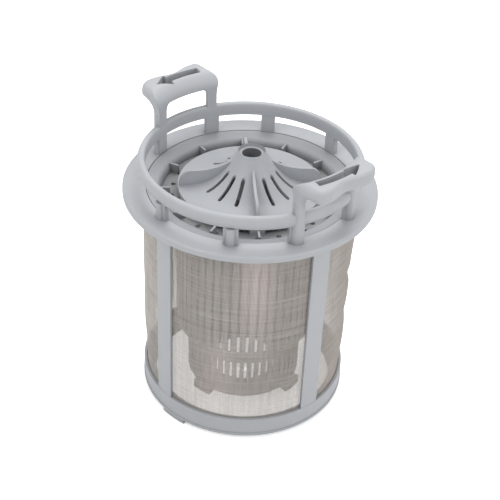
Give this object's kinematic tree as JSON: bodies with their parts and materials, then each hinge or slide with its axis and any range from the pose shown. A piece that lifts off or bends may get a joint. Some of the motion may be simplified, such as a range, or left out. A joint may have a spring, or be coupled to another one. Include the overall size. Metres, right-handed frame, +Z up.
{
  "type": "dishwasher central filter",
  "caption": "Round two-stage dishwasher filter: a fine mesh sleeve under a wide flange with a railed ring and grips, and a lift-out slotted strainer.",
  "frame": {"origin": "on the filter's axis, at the level of the bayonet lugs' undersides that the part stands on", "axes": "+Z up along the filter's axis, -Y and +Y towards the two handles"},
  "size_m": [0.12, 0.1256, 0.1492],
  "materials": {
    "grey_plastic": "satin",
    "basket_plastic": "satin",
    "fine_mesh": "woven"
  },
  "bodies": {
    "fine_filter": {"fine_filter_frame": "grey_plastic", "mesh_sleeve": "fine_mesh"},
    "coarse_filter": {"funnel_ring": "grey_plastic", "coarse_basket": "basket_plastic", "cone_cap": "grey_plastic"}
  },
  "joints": [
    {"name": "coarse_filter_lift_out", "type": "slide", "parent": "fine_filter", "child": "coarse_filter", "axis": [0, 0, 1], "range_m": [0, 0.15]}
  ]
}
